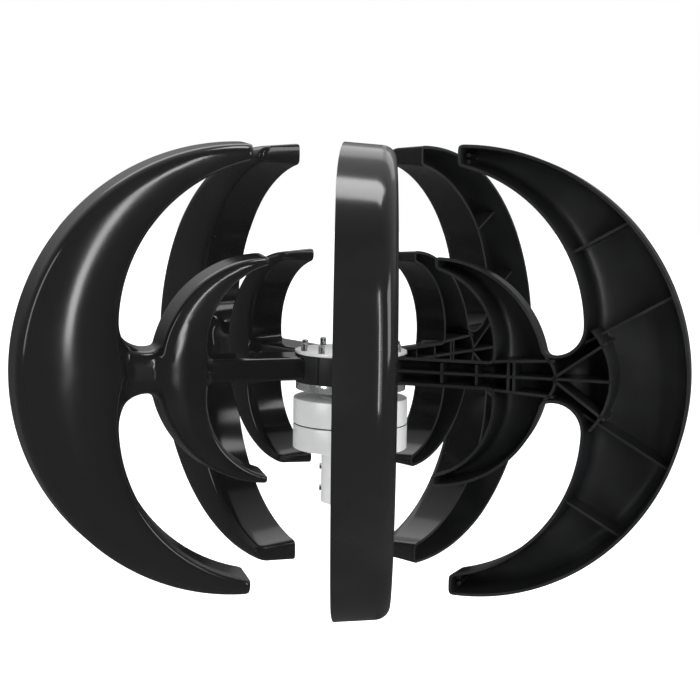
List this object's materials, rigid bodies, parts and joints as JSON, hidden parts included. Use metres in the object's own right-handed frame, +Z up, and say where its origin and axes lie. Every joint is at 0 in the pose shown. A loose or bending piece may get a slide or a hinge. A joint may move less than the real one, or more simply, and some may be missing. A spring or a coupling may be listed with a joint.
{
  "type": "vertical axis wind turbine",
  "caption": "Small vertical axis wind turbine: black double-crescent moulded blades clamped in a round hub on a sealed generator, with a socket for a pole below.",
  "frame": {"origin": "centre of the pole socket's mouth, at the bottom of the sleeve", "axes": "+Z up along the turbine's axis; the first blade points along -Y with its convex side towards +X; +X to the right seen from the front"},
  "size_m": [0.579, 0.5549, 0.395],
  "materials": {
    "blade_plastic": "glossy outside, finer and duller inside",
    "polished_metal": "polished",
    "stud_steel": "plated",
    "machined_steel": "turned",
    "rotor_iron": "blackened",
    "magnet": "nickel plated",
    "bearing_steel": "ground",
    "cage_brass": "pressed",
    "core_steel": "laminated",
    "coil_copper": "enamelled wire",
    "housing_aluminium": "fine turned, satin",
    "seal_rubber": "matt"
  },
  "bodies": {
    "stator": {"upper_housing": "housing_aluminium", "lower_housing": "housing_aluminium", "pole_sleeve": "housing_aluminium", "housing_gasket": "seal_rubber", "housing_screws": "stud_steel", "shaft_seal": "seal_rubber", "upper_outer_race": "bearing_steel", "lower_outer_race": "bearing_steel", "stator_core": "core_steel", "stator_coils": "coil_copper", "sleeve_screws": "stud_steel", "set_screws": "stud_steel", "cable_grommet": "seal_rubber"},
    "rotor": {"blade_1": "blade_plastic", "blade_2": "blade_plastic", "blade_3": "blade_plastic", "blade_4": "blade_plastic", "blade_5": "blade_plastic", "top_clamp_plate": "polished_metal", "drive_flange": "polished_metal", "hub_studs": "stud_steel", "generator_shaft": "machined_steel", "shaft_washer": "machined_steel", "shaft_nut": "stud_steel", "shaft_key": "machined_steel", "magnet_rotor": "rotor_iron", "rotor_magnets": "magnet", "upper_inner_race": "bearing_steel", "lower_inner_race": "bearing_steel"},
    "upper_bearing_cage": {"upper_balls": "bearing_steel", "upper_cage": "cage_brass"},
    "lower_bearing_cage": {"lower_balls": "bearing_steel", "lower_cage": "cage_brass"}
  },
  "joints": [
    {"name": "rotor_spin", "type": "hinge", "parent": "stator", "child": "rotor", "pos_m": [0, 0, 0.086], "axis": [0, 0, 1], "continuous": true},
    {"name": "upper_cage_spin", "type": "hinge", "parent": "stator", "child": "upper_bearing_cage", "pos_m": [0, 0, 0.086], "axis": [0, 0, 1], "continuous": true},
    {"name": "lower_cage_spin", "type": "hinge", "parent": "stator", "child": "lower_bearing_cage", "pos_m": [0, 0, 0.063], "axis": [0, 0, 1], "continuous": true}
  ],
  "couplings": [
    {"joint": "upper_cage_spin", "follows": "rotor_spin", "ratio": 0.3816},
    {"joint": "lower_cage_spin", "follows": "rotor_spin", "ratio": 0.3648}
  ]
}
